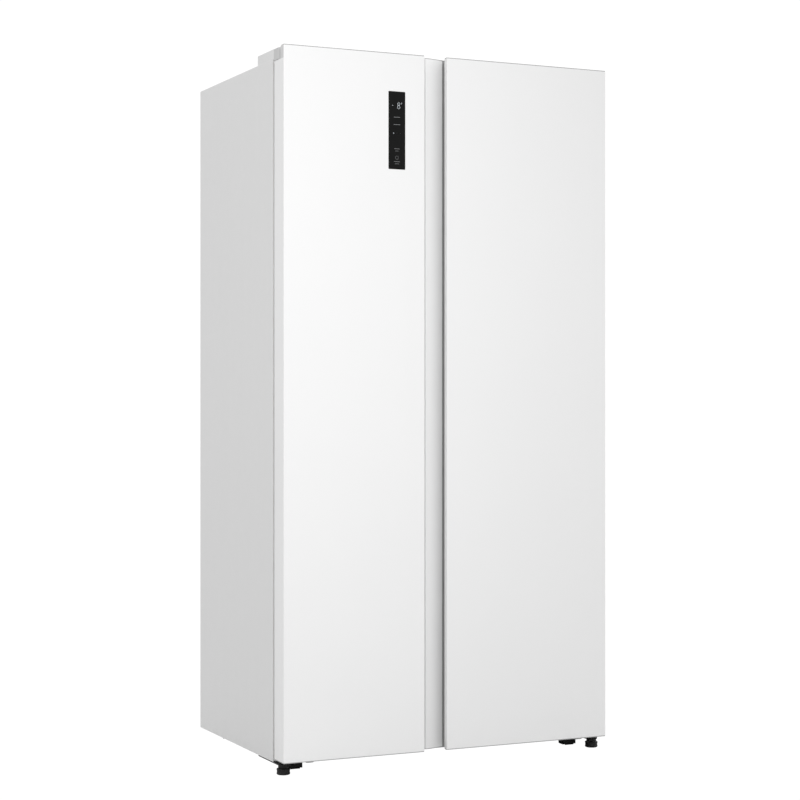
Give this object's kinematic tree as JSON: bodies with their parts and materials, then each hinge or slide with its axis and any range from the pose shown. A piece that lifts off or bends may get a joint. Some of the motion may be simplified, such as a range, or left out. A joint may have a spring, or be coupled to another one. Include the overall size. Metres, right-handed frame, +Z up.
{
  "type": "side by side refrigerator",
  "caption": "Tall two-door side by side refrigerator with a shared full-height grip channel and a slim dark display.",
  "frame": {"origin": "on the floor, under the middle of the object's box", "axes": "+Z up, the doors face -Y, +X to the viewer's right when facing the doors"},
  "size_m": [0.91, 0.643, 1.786],
  "materials": {
    "white_paint": "smooth satin enamel on steel sheet",
    "white_plastic": "moulded, matched to the enamel",
    "inner_plastic": "vacuum formed liner sheet",
    "clear_plastic": "clear moulded polystyrene",
    "galvanised_steel": "plain galvanised sheet",
    "black_steel": "black enamel",
    "black_plastic": "black moulded",
    "foam": "blown rigid foam",
    "gasket_rubber": "soft magnetic seal",
    "shelf_glass": "clear tempered sheet",
    "display_glass": "gloss black panel",
    "copper": "bare copper tube",
    "aluminium": "bare sheet fins"
  },
  "bodies": {
    "cabinet": {"outer_shell": "white_paint", "front_frame": "white_paint", "cabinet_foam": "foam", "back_panel": "galvanised_steel", "base_plate": "galvanised_steel", "freezer_liner": "inner_plastic", "fridge_liner": "inner_plastic", "compressor": "black_steel", "condenser_coil": "copper", "condenser_fan_mount": "black_plastic", "machine_cover": "galvanised_steel", "power_inlet": "black_plastic", "freezer_shelf_1": "shelf_glass", "freezer_shelf_2": "shelf_glass", "freezer_shelf_3": "shelf_glass", "fridge_shelf_1": "shelf_glass", "fridge_shelf_2": "shelf_glass", "fridge_shelf_3": "shelf_glass", "evaporator": "aluminium", "freezer_duct": "inner_plastic", "fridge_duct": "inner_plastic", "left_top_hinge": "galvanised_steel", "left_hinge_cover": "white_plastic", "left_bottom_hinge": "black_steel", "right_top_hinge": "galvanised_steel", "right_hinge_cover": "white_plastic", "right_bottom_hinge": "black_steel"},
    "left_door": {"left_door_skin": "white_paint", "left_door_grip": "white_plastic", "left_door_foam": "foam", "left_door_liner": "inner_plastic", "left_door_top_cap": "white_plastic", "left_door_bottom_cap": "white_plastic", "left_door_gasket": "gasket_rubber", "left_door_bin_1": "clear_plastic", "left_door_bin_2": "clear_plastic", "left_door_bin_3": "clear_plastic", "display_glass": "display_glass"},
    "right_door": {"right_door_skin": "white_paint", "right_door_grip": "white_plastic", "right_door_foam": "foam", "right_door_liner": "inner_plastic", "right_door_top_cap": "white_plastic", "right_door_bottom_cap": "white_plastic", "right_door_gasket": "gasket_rubber", "right_door_bin_1": "clear_plastic", "right_door_bin_2": "clear_plastic", "right_door_bin_3": "clear_plastic"},
    "freezer_drawer_1": {"freezer_drawer_1": "clear_plastic"},
    "freezer_drawer_2": {"freezer_drawer_2": "clear_plastic"},
    "fridge_crisper_1": {"fridge_crisper_1": "clear_plastic"},
    "fridge_crisper_2": {"fridge_crisper_2": "clear_plastic"},
    "left_foot": {"left_foot": "black_plastic"},
    "right_foot": {"right_foot": "black_plastic"},
    "left_front_roller": {"left_front_roller": "black_plastic"},
    "right_front_roller": {"right_front_roller": "black_plastic"},
    "left_rear_roller": {"left_rear_roller": "black_plastic"},
    "right_rear_roller": {"right_rear_roller": "black_plastic"},
    "condenser_fan": {"condenser_fan": "black_plastic"},
    "evaporator_fan": {"evaporator_fan": "inner_plastic"}
  },
  "joints": [
    {"name": "left_door_hinge", "type": "hinge", "parent": "cabinet", "child": "left_door", "pos_m": [-0.438, -0.2765, 0.9], "axis": [0, 0, -1], "range_deg": [0, 110]},
    {"name": "right_door_hinge", "type": "hinge", "parent": "cabinet", "child": "right_door", "pos_m": [0.438, -0.2765, 0.9], "axis": [0, 0, 1], "range_deg": [0, 110]},
    {"name": "freezer_drawer_1_slide", "type": "slide", "parent": "cabinet", "child": "freezer_drawer_1", "axis": [0, -1, 0], "range_m": [0, 0.09]},
    {"name": "freezer_drawer_2_slide", "type": "slide", "parent": "cabinet", "child": "freezer_drawer_2", "axis": [0, -1, 0], "range_m": [0, 0.09]},
    {"name": "fridge_crisper_1_slide", "type": "slide", "parent": "cabinet", "child": "fridge_crisper_1", "axis": [0, -1, 0], "range_m": [0, 0.09]},
    {"name": "fridge_crisper_2_slide", "type": "slide", "parent": "cabinet", "child": "fridge_crisper_2", "axis": [0, -1, 0], "range_m": [0, 0.09]},
    {"name": "left_foot_turn", "type": "hinge", "parent": "cabinet", "child": "left_foot", "pos_m": [-0.438, -0.2765, 0.009], "axis": [0, 0, 1], "continuous": true},
    {"name": "left_front_roller_spin", "type": "hinge", "parent": "cabinet", "child": "left_front_roller", "pos_m": [-0.392, -0.2255, 0.0105], "axis": [1, 0, 0], "continuous": true},
    {"name": "left_rear_roller_spin", "type": "hinge", "parent": "cabinet", "child": "left_rear_roller", "pos_m": [-0.393, 0.2465, 0.0125], "axis": [1, 0, 0], "continuous": true},
    {"name": "right_foot_turn", "type": "hinge", "parent": "cabinet", "child": "right_foot", "pos_m": [0.438, -0.2765, 0.009], "axis": [0, 0, 1], "continuous": true},
    {"name": "right_front_roller_spin", "type": "hinge", "parent": "cabinet", "child": "right_front_roller", "pos_m": [0.392, -0.2255, 0.0105], "axis": [1, 0, 0], "continuous": true},
    {"name": "right_rear_roller_spin", "type": "hinge", "parent": "cabinet", "child": "right_rear_roller", "pos_m": [0.393, 0.2465, 0.0125], "axis": [1, 0, 0], "continuous": true},
    {"name": "condenser_fan_spin", "type": "hinge", "parent": "cabinet", "child": "condenser_fan", "pos_m": [-0.04, 0.208, 0.148], "axis": [1, 0, 0], "continuous": true},
    {"name": "evaporator_fan_spin", "type": "hinge", "parent": "cabinet", "child": "evaporator_fan", "pos_m": [-0.247, 0.1825, 0.88], "axis": [0, 1, 0], "continuous": true}
  ]
}
